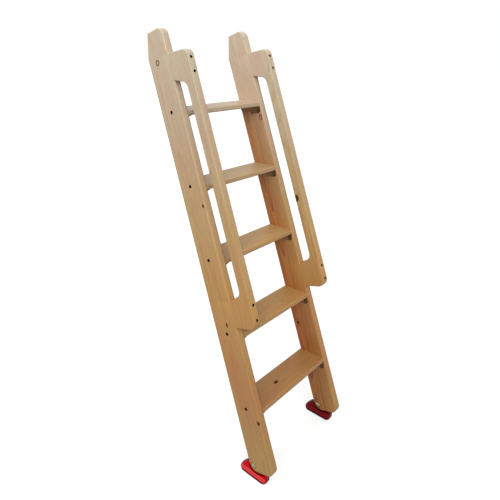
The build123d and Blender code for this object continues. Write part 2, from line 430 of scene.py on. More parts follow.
@dataclass(frozen=True)
class PineFinish:
    """Pine, planed and sanded, under a thin clear satin varnish.

    The eye gets soft pale bands with narrow amber late wood, fine fibres along the board, a few
    red-brown knots, arrises darkened on chosen sides by painted shade and a broad soft gloss.
    """

    # Painted light: the pine is painted paler and greyer high up and darker amber lower down, as light falls
    # off.
    painted_light_by_height: tuple[tuple[float, str], ...] = (
        (-1.40, "#A88B56"),
        (-1.10, "#B08556"),
        (-0.80, "#BE9B63"),
        (-0.50, "#C3AA83"),
        (-0.20, "#CBBEAC"),
        (0.04, "#D6D0C2"),
    )
    # Painted shade: the face between the treads is painted darker amber, with darker rings.
    painted_shade_amber: Paint = Paint("#F8C690")
    painted_shade_rings: Paint = Paint("#8E5A38")
    late_wood: Paint = Paint("#E2BE98", 0.6)
    fibre_shade: Paint = Paint("#EFE6DA", 0.7)
    ruddy: Paint = Paint("#FDE6DE")
    straw: Paint = Paint("#FAF6E8")
    duct: Paint = Paint("#1F0F07", 0.24)
    knot_heart: Paint = Paint("#421D08", 0.9, True)
    knot_rim: Paint = Paint("#210B03", 0.8, True)
    faint_heart: Paint = Paint("#A36F44", 0.5, True)
    faint_rim: Paint = Paint("#421D08", 0.55, True)
    dark_ring: Paint = Paint("#1F0F07", 0.97, True)
    # Painted shade: the chosen arrises of each board are painted darker.
    edge_shade: Paint = Paint("#8E663F")

    # Rings of 4 mm are a fast-grown pine's, and wide enough to show a little at this distance.
    ring_pitch: float = 4.2
    ring_profile: tuple[Pair, ...] = ((0.0, 0.0), (0.5, 0.12), (0.8, 0.62), (0.92, 1.0), (1.0, 0.0))
    year_scale: float = 0.22
    year_shift: float = 2.2
    # How far the trunk's bends and the rings' waves reach, in millimetres.
    bend_reach: float = 11.0
    wave_reach: float = 1.6
    # Widths across the board and lengths along it of each part of the pattern, in millimetres.
    bend_size: Pair = (75.0, 520.0)
    wave_size: Pair = (11.0, 150.0)
    vigour_size: Pair = (16.0, 420.0)
    fibre_size: Pair = (1.1, 60.0)
    streak_size: Pair = (6.0, 260.0)
    drift_size: Pair = (48.0, 330.0)
    duct_size: Pair = (0.9, 16.0)
    # Where each part of the pattern begins to show in its noise and where it is full.
    vigour_shown: Pair = (0.3, 0.7)
    vigour_least: float = 0.35
    fibre_shown: Pair = (0.72, 1.3)
    drift_shown: Pair = (0.32, 0.68)
    duct_shown: Pair = (0.66, 0.74)
    noise_roughness: float = 0.55

    # A knot's outline: its raggedness and, in radii, its heart's edge, half its rim and its pull's fall.
    raggedness: float = 0.5
    ragged_scale: float = 0.35
    heart_edge: Pair = (0.8, 1.15)
    rim_edge: Pair = (0.05, 0.42)
    pull_fall: float = 0.16

    # Painted shade on the face between the treads: darker amber, less and less towards the front, in
    # millimetres.
    painted_shade_from: float = 12.0
    painted_shade_to: float = 98.0
    painted_shade_least: float = 0.3
    painted_shade_skin: float = 2.5
    painted_shade_above_tread: float = 6.0

    roughness: float = 0.44
    ring_gloss: Pair = (0.07, 0.06)
    fibre_relief: float = 0.5
    bump: Pair = (0.35, 0.00025)
    specular: float = 0.3
    coat: float = 0.1
    coat_roughness: float = 0.28

    def growth_group(self) -> Tree:
        """Builds the shared pattern of rings, fibres and slow colour drift.

        Returns:
            A group that reads a place in a board in millimetres, with Z along the board.
        """
        group, inside, outside = new_group("pine_growth", ("Place", "Pith", "Tilt"), ("Seed", "Pull"),
                                           ("Ring", "Fibre", "Drift", "Duct"))
        add = partial(add_node, group)
        place = inside.outputs["Place"]

        def shown(part: Pair, source: Source) -> Node:
            """Adds the rise from nothing to full between two levels of a source."""
            return add("MapRange", {1: part[0], 2: part[1]}, {0: source})

        def noise(size: Pair, detail: float) -> Node:
            """Adds noise whose grains have this width and length."""
            across, along = size
            scaled = add("VectorMath", {1: (1.0 / across, 1.0 / across, 1.0 / along)}, {0: place},
                         operation="MULTIPLY")
            return add("TexNoise", {"Scale": 1.0, "Detail": detail, "Roughness": self.noise_roughness},
                       {"Vector": scaled, "W": inside.outputs["Seed"]}, noise_dimensions="4D")

        up = add("SeparateXYZ", links={0: place}).outputs["Z"]
        leaned = add("VectorMath", links={0: inside.outputs["Tilt"], "Scale": up}, operation="SCALE")
        pith = add("VectorMath", links={0: inside.outputs["Pith"], 1: leaned}, operation="ADD")
        away = add("VectorMath", links={0: place, 1: pith}, operation="SUBTRACT")
        flat = add("VectorMath", {1: (1.0, 1.0, 0.0)}, {0: away}, operation="MULTIPLY")
        radius = add("VectorMath", links={0: flat}, operation="LENGTH").outputs["Value"]
        bends, waves = (
            add("MapRange", {3: -reach, 4: reach}, {0: noise(size, 2.0)})
            for reach, size in ((self.bend_reach, self.bend_size), (self.wave_reach, self.wave_size)))
        pulled = gathered(group, "ADD", (radius, bends, waves, inside.outputs["Pull"]))
        count = add("Math", {1: self.ring_pitch}, {0: pulled}, operation="DIVIDE")
        years = add("TexNoise", {"Scale": self.year_scale, "Detail": 1.0}, {"W": count},
                    noise_dimensions="1D")
        uneven = add("Math", {1: self.year_shift}, {0: years, 2: count}, operation="MULTIPLY_ADD")
        phase = add("Math", links={0: uneven}, operation="FRACT")
        profile = add("ValToRGB", links={0: phase})
        set_ramp(profile, [(at, (level, level, level, 1.0)) for at, level in self.ring_profile])
        # The late wood is strong in some years and weak in others.
        vigour = shown(self.vigour_shown, noise(self.vigour_size, 1.0))
        wire(group, vigour, {3: self.vigour_least})
        fibres = gathered(group, "ADD", (noise(self.fibre_size, 3.0), noise(self.streak_size, 2.0)))
        wire(group, outside,
             links={"Ring": gathered(group, "MULTIPLY", (profile, vigour)),
                    "Fibre": shown(self.fibre_shown, fibres),
                    "Drift": shown(self.drift_shown, noise(self.drift_size, 2.0)),
                    "Duct": shown(self.duct_shown, noise(self.duct_size, 0.0))})
        return group

    def knot_group(self) -> Tree:
        """Builds the shared shape of a knot that runs through a board's thickness.

        Returns:
            A group that gives the knot's heart, its rim and its pull on the rings.
        """
        group, inside, outside = new_group("pine_knot", ("Place", "Centre"), ("Radius", "Stretch"),
                                           ("Heart", "Rim", "Pull"))
        add = partial(add_node, group)
        radius = inside.outputs["Radius"]
        away = add("VectorMath", links={0: inside.outputs["Place"], 1: inside.outputs["Centre"]},
                   operation="SUBTRACT")
        parts = add("SeparateXYZ", links={0: away})
        along = gathered(group, "DIVIDE", (parts.outputs["Z"], inside.outputs["Stretch"]))
        oval = add("CombineXYZ", {"X": 0.0}, {"Y": parts.outputs["Y"], "Z": along})
        reach = add("VectorMath", links={0: oval}, operation="LENGTH").outputs["Value"]
        share = gathered(group, "DIVIDE", (reach, radius))
        ragged = add("TexNoise", {"Scale": self.ragged_scale, "Detail": 2.0}, {"Vector": away})
        rough = add("Math", {1: self.raggedness}, {0: ragged, 2: share}, operation="MULTIPLY_ADD")
        edge = add("Math", {1: self.raggedness / 2}, {0: rough}, operation="SUBTRACT")
        near = add("Math", {1: 1.0}, {0: edge}, operation="SUBTRACT")
        gap = add("Math", links={0: near}, operation="ABSOLUTE")
        heart, rim = (
            add("MapRange", {1: inner, 2: outer, 3: 1.0, 4: 0.0}, {0: far}, interpolation_type="SMOOTHSTEP")
            for (inner, outer), far in ((self.heart_edge, edge), (self.rim_edge, gap)))
        square = gathered(group, "MULTIPLY", (share, share))
        fall = add("Math", {1: -self.pull_fall}, {0: square}, operation="MULTIPLY")
        bell = add("Math", links={0: fall}, operation="EXPONENT")
        wire(group, outside,
             links={"Heart": heart, "Rim": rim, "Pull": gathered(group, "MULTIPLY", (bell, radius))})
        return group


@dataclass(frozen=True)
class BoreFinish:
    """Pine inside a drilled hole: fibres browned by the drill, painted nearly black as painted shade of the
    hole.
    """

    name: str = "drilled_pine_in_painted_shade"
    torn_fibre_shade: str = "#2A180E"
    deep_fibre_shade: str = "#140A06"
    fibres_per_metre: float = 900.0
    roughness: float = 0.85
    specular: float = 0.15
    bump: Pair = (0.5, 0.0003)

    def material(self) -> Material:
        """Makes the dark rough wood of the holes."""
        material, tree, shader = new_material(self.name)
        add = partial(add_node, tree)
        fibres = add("TexNoise", {"Scale": self.fibres_per_metre, "Detail": 3.0},
                     {0: add("TexCoord").outputs["Object"]})
        colour = add("Mix", {6: linear_rgba(self.deep_fibre_shade), 7: linear_rgba(self.torn_fibre_shade)}, {0: fibres},
                     data_type="RGBA")
        strength, distance = self.bump
        bump = add("Bump", {"Strength": strength, "Distance": distance}, {"Height": fibres})
        wire(tree, shader, {"Roughness": self.roughness, "Specular IOR Level": self.specular},
             {"Base Color": colour.outputs[2], "Normal": bump})
        return material


class PineShop:
    """Makes one varnished pine material for each board, all from the same two patterns."""

    def __init__(self, finish: PineFinish) -> None:
        """Builds the shared patterns for a finish."""
        self.finish = finish
        self.growth = finish.growth_group()
        self.knot = finish.knot_group()
        self.bore = BoreFinish().material()

    def material(self, name: str, grain: Grain, turn: Point, shift: Point) -> Material:
        """Makes the material of one board.

        Args:
            name: The board's name, which the material's name ends with.
            grain: How the board was sawn, with its knots.
            turn: The rotation that brings the board's length to Z.
            shift: What brings the board's foot to zero, in millimetres.

        Returns:
            The material.
        """
        finish = self.finish
        material, tree, shader = new_material("varnished_pine_" + name)
        add = partial(add_node, tree)
        board = millimetres(tree, turn, shift)
        knots = [
            (knot.kind, add("Group", {"Centre": (0.0, -knot.forward, knot.along), "Radius": knot.radius,
                                      "Stretch": knot.stretch}, {"Place": board}, node_tree=self.knot))
            for knot in grain.knots
        ]
        growth = add("Group", {"Pith": (*grain.pith, 0.0), "Tilt": (*grain.tilt, 0.0), "Seed": grain.seed},
                     {"Place": board}, node_tree=self.growth)
        ring, fibre, drift, duct = growth.outputs
        pulls = [node.outputs["Pull"] for kind, node in knots if kind is not KnotKind.DARK_RING]
        if pulls:
            wire(tree, growth, links={"Pull": gathered(tree, "ADD", pulls)})
        colour: Source = self._painted_light_colour(tree)
        # Painted shade: the inner face between the treads is painted darker and redder, with stronger rings.
        if grain.painted_shade_face:
            painted_shade = self._painted_shade_mask(tree, board, grain.painted_shade_face)
            colour = finish.painted_shade_amber.over(tree, colour, painted_shade)
            colour = finish.painted_shade_rings.over(tree, colour, gathered(tree, "MULTIPLY", (painted_shade, ring)))
        paler = add("Math", {0: 1.0}, {1: drift}, operation="SUBTRACT")
        for paint, mask in ((finish.late_wood, ring), (finish.fibre_shade, fibre), (finish.ruddy, drift),
                            (finish.straw, paler), (finish.duct, duct)):
            colour = paint.over(tree, colour, mask)
        paints = {
            KnotKind.SOUND: ((finish.knot_heart, "Heart"), (finish.knot_rim, "Rim")),
            KnotKind.FAINT: ((finish.faint_heart, "Heart"), (finish.faint_rim, "Rim")),
            KnotKind.DARK_RING: ((finish.dark_ring, "Rim"),),
        }
        for kind, node in knots:
            for paint, part in paints[kind]:
                colour = paint.over(tree, colour, node.outputs[part])
        # Painted shade on the chosen arrises.
        colour = finish.edge_shade.over(tree, colour, add("Attribute", attribute_name="edge_shade").outputs["Fac"])
        high, low = finish.ring_gloss
        gloss = add("MapRange", {3: finish.roughness + high, 4: finish.roughness - low}, {0: ring})
        raised = add("Math", {1: finish.fibre_relief}, {0: fibre, 2: ring}, operation="MULTIPLY_ADD")
        strength, distance = finish.bump
        bump = add("Bump", {"Strength": strength, "Distance": distance}, {"Height": raised})
        wire(tree, shader,
             {"Specular IOR Level": finish.specular, "Coat Weight": finish.coat,
              "Coat Roughness": finish.coat_roughness},
             {"Base Color": colour, "Roughness": gloss, "Normal": bump})
        dull = [gathered(tree, "MAXIMUM", (node.outputs["Rim"], node.outputs["Heart"]))
                for kind, node in knots if kind is not KnotKind.FAINT]
        if dull:
            # The varnish sinks into a knot's end grain, which stays dull.
            mask = gathered(tree, "MAXIMUM", dull)
            for socket, level in (("Specular IOR Level", finish.specular), ("Coat Weight", finish.coat)):
                wire(tree, shader, links={socket: add("MapRange", {3: level, 4: 0.0}, {0: mask})})
        return material

    def _painted_light_colour(self, tree: Tree) -> Node:
        """Adds the wood's colour with painted light, which changes slowly with height: paler high up."""
        stops = self.finish.painted_light_by_height
        low, high = stops[0][0], stops[-1][0]
        share = add_node(tree, "MapRange", {1: low, 2: high}, {0: height_in_frame(tree)})
        ramp = add_node(tree, "ValToRGB", links={0: share})
        set_ramp(ramp, [((height - low) / (high - low), linear_rgba(colour)) for height, colour in stops])
        return ramp

    def _painted_shade_mask(self, tree: Tree, board: Node, face: float) -> Source:
        """Marks the face between the treads for the painted shade that the treads above cast on it.

        Args:
            tree: The material's tree.
            board: The place on the board, in millimetres.
            face: The X of the shaded face on the board.

        Returns:
            A factor that is 1 deep between the treads and falls off towards the front edge.
        """
        finish = self.finish
        add = partial(add_node, tree)
        parts = add("SeparateXYZ", links={0: board})
        top = (ROW.top(1) - ROW.thickness) * MM
        skin = add("MapRange", {1: face, 2: face - math.copysign(finish.painted_shade_skin, face), 3: 1.0, 4: 0.0},
                   {0: parts.outputs["X"]})
        front = add("MapRange", {1: -finish.painted_shade_from, 2: -finish.painted_shade_to, 3: 1.0, 4: finish.painted_shade_least},
                    {0: parts.outputs["Y"]})
        below = add("MapRange", {1: top, 2: top + finish.painted_shade_above_tread * MM, 3: 1.0, 4: 0.0},
                    {0: height_in_frame(tree)})
        return gathered(tree, "MULTIPLY", (skin, front, below))


@dataclass(frozen=True)
class SteelFinish:
    """Steel, pressed or turned and dipped: uneven dull film, brighter where it is worn."""

    name: str
    clean: str
    dull: str
    roughness: float
    # Width of the film's blotches in millimetres, and scratches per millimetre.
    patch: float = 9.0
    scratches: float = 1.4
    # How far the film makes the steel smoother and rougher.
    smoother: float = 0.1
    rougher: float = 0.14
    bump: Pair = (0.2, 0.0001)

    def material(self) -> Material:
        """Makes the steel's material, with a blotchy film and fine scratches."""
        material, tree, shader = new_material(self.name)
        add = partial(add_node, tree)
        place = millimetres(tree)
        film = add("TexNoise", {"Scale": 1.0 / self.patch, "Detail": 4.0, "Roughness": 0.6},
                   {"Vector": place})
        scratch = add("TexNoise", {"Scale": self.scratches, "Detail": 2.0}, {"Vector": place})
        colour = add("Mix", {6: linear_rgba(self.clean), 7: linear_rgba(self.dull)}, {0: film},
                     data_type="RGBA")
        rough = add("MapRange", {3: self.roughness - self.smoother, 4: self.roughness + self.rougher},
                    {0: film})
        strength, distance = self.bump
        bump = add("Bump", {"Strength": strength, "Distance": distance}, {"Height": scratch})
        wire(tree, shader, {"Metallic": 1.0},
             {"Base Color": colour.outputs[2], "Roughness": rough, "Normal": bump})
        return material


@dataclass(frozen=True)
class PlasticFinish:
    """Polypropylene, moulded in red: an even deep colour; rims that turn away and the bottom get painted
    shade.

    Two narrow lines along each side get painted highlights, a little paler than the rest.
    """

    name: str
    body: str
    shade: str
    shade_red: str
    highlight_line: str
    roughness: float = 0.3
    specular: float = 0.05
    # Millimetres: the colour's clouds, the painted highlight lines above the floor and half their width, with
    # the shares of it between which they fade, the part of the foot's width that the lines are on, and where
    # the painted shade along the bottom ends.
    cloud: float = 14.0
    highlight_heights: tuple[float, ...] = (20.0, 29.0)
    highlight_half: float = 1.7
    highlight_fade: Pair = (0.5, 1.6)
    skin: Pair = (12.0, 14.0)
    low_shade: Pair = (12.5, 16.0)
    # How far the clouds make the plastic smoother and rougher, and its fine orange peel.
    smoother: float = 0.05
    rougher: float = 0.1
    peels_per_mm: float = 0.9
    bump: Pair = (0.12, 0.0002)
    mottle_per_metre: float = 240.0
    mottle_share: float = 0.3
    step_roughness: float = 0.7

    def material(self, side: Side) -> Material:
        """Makes the red plastic of one foot, with painted highlight lines and painted shade on its bottom and
        rims.
        """
        material, tree, shader = new_material(self.name)
        add = partial(add_node, tree)
        place = millimetres(tree)
        cloud = add("TexNoise", {"Scale": 1 / self.cloud, "Detail": 3.0}, {"Vector": place})
        colour = add("Mix", {6: linear_rgba(self.body), 7: linear_rgba(self.shade)}, {0: cloud},
                     data_type="RGBA").outputs[2]
        parts = add("SeparateXYZ", links={0: place})
        middle = add("Math", {1: LEAN.centre_x(side)}, {0: parts.outputs["X"]}, operation="SUBTRACT")
        out = add("Math", links={0: middle}, operation="ABSOLUTE")
        skin = add("MapRange", {1: self.skin[0], 2: self.skin[1]}, {0: out})
        full, gone = (self.highlight_half * share for share in self.highlight_fade)
        # Painted highlights: two pale lines along each side, near the foot's broad faces.
        for height in self.highlight_heights:
            off = add("Math", {1: LEAN.floor + height}, {0: parts.outputs["Z"]}, operation="SUBTRACT")
            near = add("Math", links={0: off}, operation="ABSOLUTE")
            line = add("MapRange", {1: full, 2: gone, 3: 1.0, 4: 0.0}, {0: near},
                       interpolation_type="SMOOTHSTEP")
            colour = Paint(self.highlight_line, covers=True).over(tree, colour, gathered(tree, "MULTIPLY", (line, skin)))
        # Painted shade: the bottom, and the rims that the foot marks, are painted nearly black red.
        low, high = self.low_shade
        low_shade = add("MapRange", {1: LEAN.floor + low, 2: LEAN.floor + high, 3: 1.0, 4: 0.0},
                   {0: parts.outputs["Z"]})
        rim = add("Attribute", attribute_name="edge_shade").outputs["Fac"]
        colour = Paint(self.shade_red, covers=True).over(tree, colour, gathered(tree, "MAXIMUM", (low_shade, rim)))
        rough = add("MapRange", {3: self.roughness - self.smoother, 4: self.roughness + self.rougher},
                    {0: cloud})
        peel = add("TexNoise", {"Scale": self.peels_per_mm, "Detail": 1.0}, {"Vector": place})
        strength, distance = self.bump
        bump = add("Bump", {"Strength": strength, "Distance": distance}, {"Height": peel})
        wire(tree, shader, {"Specular IOR Level": self.specular},
             {"Base Color": colour, "Roughness": rough, "Normal": bump})
        return material

    def seam(self) -> Material:
        """Makes the dark plastic in the shallow step that runs along the wood: painted shadow in the step,
        mottled.
        """
        material, tree, shader = new_material(self.name + "_painted_shadow_in_the_step")
        add = partial(add_node, tree)
        mottle = add("TexNoise", {"Scale": self.mottle_per_metre, "Detail": 3.0},
                   {0: add("TexCoord").outputs["Object"]})
        share = add("Math", {1: self.mottle_share}, {0: mottle}, operation="MULTIPLY")
        colour = add("Mix", {6: linear_rgba(self.shade_red), 7: linear_rgba(self.shade)}, {0: share},
                     data_type="RGBA")
        wire(tree, shader, {"Roughness": self.step_roughness, "Specular IOR Level": self.specular},
             {"Base Color": colour.outputs[2]})
        return material


def finish_mesh(work: Work, name: str, matrix: Matrix, materials: Sequence[Material] = ()) -> Piece:
    """Turns a bmesh into a smooth-shaded object that sits at the origin.

    Args:
        work: The mesh, which is freed.
        name: The piece's name.
        matrix: What brings the mesh to its place in the frame, in metres.
        materials: Its materials, in the order of the faces' material numbers.

    Returns:
        The linked object.
    """
    bmesh.ops.transform(work, matrix=matrix, verts=work.verts)
    bmesh.ops.remove_doubles(work, verts=work.verts, dist=NEAR * MM)
    bmesh.ops.recalc_face_normals(work, faces=work.faces)
    for face in work.faces:
        face.smooth = True
    mesh = bpy.data.meshes.new(name)
    work.to_mesh(mesh)
    work.free()
    for material in materials:
        mesh.materials.append(material)
    piece = bpy.data.objects.new(name, mesh)
    bpy.context.scene.collection.objects.link(piece)
    return piece


def cut_away(piece: Piece, cutter: Piece) -> None:
    """Cuts one object out of another for good and deletes the cutter.

    Args:
        piece: The object that is cut.
        cutter: The closed shape to take away.
    """
    cut = piece.modifiers.new("cut", "BOOLEAN")
    cut.operation = "DIFFERENCE"
    cut.solver = "EXACT"
    cut.material_mode = "INDEX"
    cut.object = cutter
    shaped = bpy.data.meshes.new_from_object(piece.evaluated_get(bpy.context.evaluated_depsgraph_get()))
    piece.modifiers.clear()
    old = piece.data
    piece.data = shaped
    shaped.name = piece.name
    bpy.data.meshes.remove(old)
    bpy.data.objects.remove(cutter)


def whole(work: Work) -> list:
    """Gives a mesh's vertices, edges and faces in one list."""
    return work.verts[:] + work.edges[:] + work.faces[:]


def mirror_half(piece: Piece, centre_x: float) -> None:
    """Keeps a piece's half on the +X side of a plane and mirrors it to the other side.

    Args:
        piece: The object, in metres at the origin.
        centre_x: The plane's X, in millimetres.
    """
    work = bmesh.new()
    work.from_mesh(piece.data)
    to_plane = Matrix.Translation((centre_x * MM, 0.0, 0.0))
    bmesh.ops.transform(work, matrix=to_plane.inverted(), verts=work.verts)
    bmesh.ops.bisect_plane(work, geom=whole(work), dist=1e-7, plane_co=(0.0, 0.0, 0.0),
                           plane_no=(1.0, 0.0, 0.0), clear_inner=True)
    bmesh.ops.mirror(work, geom=whole(work), merge_dist=1e-6, axis="X")
    bmesh.ops.transform(work, matrix=to_plane, verts=work.verts)
    bmesh.ops.recalc_face_normals(work, faces=work.faces)
    work.to_mesh(piece.data)
    work.free()


def settle(piece: Piece, nodes: Sequence[str]) -> None:
    """Gives a finished piece its shading, body and the nodes that it stands for.

    Args:
        piece: The object.
        nodes: The CAD nodes that it replaces, if any.
    """
    piece.data.set_sharp_from_angle(angle=SHARP_ANGLE)
    piece.modifiers.new("even_faces", "WEIGHTED_NORMAL").keep_sharp = True
    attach(piece, BODY)
    if nodes:
        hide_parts(*nodes)
    LOG.info("%s: %d faces, stands for %s", piece.name, len(piece.data.polygons),
             ", ".join(nodes) or "nothing")


@dataclass(frozen=True)
class Corner:
    """A corner of a board's outline: forward, up and its radius, in millimetres."""

    forward: float
    up: float
    radius: float = 0.0


def round_off(work: Work, geom: Iterable, reach: float, segments: int, affect: str = "EDGES") -> list:
    """Rounds edges or corners and gives the new faces.

    Args:
        work: The mesh.
        geom: The edges, or the corner vertices of a flat face.
        reach: How far the rounding reaches from them.
        segments: Faces or edges across it.
        affect: EDGES or VERTICES.

    Returns:
        The new faces.
    """
    return bmesh.ops.bevel(work, geom=list(geom), offset=reach, offset_type="OFFSET", segments=segments,
                           profile=0.5, affect=affect, material=-1)["faces"]


def thicken(work: Work, thickness: float) -> None:
    """Turns a flat face into a closed board by growing it towards +X."""
    grown = bmesh.ops.extrude_face_region(work, geom=work.faces[:])
    moved = [g for g in grown["geom"] if isinstance(g, Vert)]
    bmesh.ops.translate(work, verts=moved, vec=(thickness, 0.0, 0.0))
    bmesh.ops.recalc_face_normals(work, faces=work.faces)


def board_blank(corners: Sequence[Corner], thickness: float, corner_steps: int = 10) -> Work:
    """Makes a flat board from its outline, in (across, -forward, up) millimetres.

    Args:
        corners: The outline's corners in order.
        thickness: The board's thickness.
        corner_steps: Segments in each rounded corner.

    Returns:
        The board with sharp arrises.
    """
    work = bmesh.new()
    verts = [work.verts.new((-thickness / 2, -c.forward, c.up)) for c in corners]
    work.faces.new(verts)
    for index, (vert, corner) in enumerate(zip(verts, corners)):
        if corner.radius <= 0:
            continue
        first, second = (Vector((other.forward - corner.forward, other.up - corner.up))
                         for other in (corners[index - 1], corners[(index + 1) % len(corners)]))
        reach = corner.radius / math.tan(first.angle(second) / 2)
        round_off(work, [vert], reach, corner_steps, "VERTICES")
    thicken(work, thickness)
    return work


def ease_arrises(work: Work, edges: Iterable[Edge], radius: float, segments: int,
                 gets_edge_shade: Callable[[Vector], bool]) -> None:
    """Rounds edges and marks chosen ones of the new faces, for painted shade in the material.

    Args:
        work: The mesh.
        edges: The edges to round.
        radius: The rounding's radius.
        segments: Faces across the rounding.
        gets_edge_shade: Tells whether the rounding at a place is painted dark, as painted shade.
    """
    layer = work.loops.layers.float.new("edge_shade")
    eased = set(round_off(work, edges, radius, segments))
    for face in eased:
        for loop in face.loops:
            inner = all(other in eased for other in loop.vert.link_faces)
            if gets_edge_shade(loop.vert.co):
                loop[layer] = EDGE_SHADE_FULL if inner else EDGE_SHADE_AT_FLAT


def rim_edges(work: Work, thickness: float) -> list[Edge]:
    """Gives the edges all round a board's two broad faces."""
    half = thickness / 2
    return [
        edge for edge in work.edges
        if all(abs(abs(v.co.x) - half) < NEAR for v in edge.verts)
        and edge.verts[0].co.x * edge.verts[1].co.x > 0
    ]


def edges_along_x(work: Work) -> list[Edge]:
    """Gives the edges that run along X."""
    return [e for e in work.edges if abs(e.verts[0].co.x - e.verts[1].co.x) > 1.0]


def add_box(work: Work, size: Point, place: Matrix) -> list[Vert]:
    """Adds a box to a mesh.

    Args:
        work: The mesh.
        size: The box's three sizes.
        place: The place of its middle.

    Returns:
        Its vertices.
    """
    verts = bmesh.ops.create_cube(work, size=1.0)["verts"]
    bmesh.ops.transform(work, matrix=place @ Matrix.Diagonal((*size, 1.0)), verts=verts)
    return verts


def finish_cutter(work: Work, matrix: Matrix) -> Piece:
    """Makes a cutter's object, whose faces leave their material number in what it cuts."""
    for face in work.faces:
        face.material_index = BORE_SLOT
    return finish_mesh(work, "cutter", matrix)


def round_cutter(holes: Iterable[Hole], sides: int = 24) -> Piece:
    """Makes one cutter from several round holes.

    Args:
        holes: Start point, direction, radius and length of each, all in millimetres.
        sides: Faces round each hole.

    Returns:
        An object in metres.
    """
    work = bmesh.new()
    for start, direction, radius, length in holes:
        made = bmesh.ops.create_cone(work, cap_ends=True, segments=sides, radius1=radius, radius2=radius,
                                     depth=length)
        turn = direction.to_track_quat("Z", "Y").to_matrix().to_4x4()
        middle = start + direction.normalized() * (length / 2)
        bmesh.ops.transform(work, matrix=Matrix.Translation(middle) @ turn, verts=made["verts"])
    return finish_cutter(work, Matrix.Scale(MM, 4))


class Board:
    """A board of varnished pine; each kind of board says its own shape and what is cut out of it."""

    def __init__(self, name: str, shop: PineShop, grains: Mapping[str, Grain], matrix: Matrix,
                 mapping: tuple[Point, Point]) -> None:
        """Keeps what the board is made from.

        Args:
            name: The board's name, which is its CAD node's.
            shop: What makes its material.
            grains: The boards' grains by name.
            matrix: What brings the board to its place in the frame, in metres.
            mapping: The turn and the shift from a place in the frame to one on the board.
        """
        self.name = name
        self.matrix = matrix
        self.materials = [shop.material(name, grains[name], *mapping)]

    def blank(self) -> Work:
        """Makes the board with its eased arrises and without its holes."""
        raise NotImplementedError

    def cutters(self) -> Iterable[Piece]:
        """Makes what is cut out of the board, one after the other."""
        return ()

    def build(self) -> Piece:
        """Makes the board, varnishes it and cuts its holes."""
        piece = finish_mesh(self.blank(), self.name + "_board", self.matrix, self.materials)
        for cutter in self.cutters():
            cut_away(piece, cutter)
        settle(piece, [self.name])
        return piece


class LeaningBoard(Board):
    """A board on one of the ladder's two leaning sides, with holes drilled into it."""

    KIND = ""

    def __init__(self, side: Side, shop: PineShop, grains: Mapping[str, Grain]) -> None:
        """Keeps the side and adds the drilled wood to the board's materials."""
        super().__init__("%s_%s" % (side.value, self.KIND), shop, grains, LEAN.board_matrix(side),
                         LEAN.board_mapping(side))
        self.side = side
        self.materials.append(shop.bore)


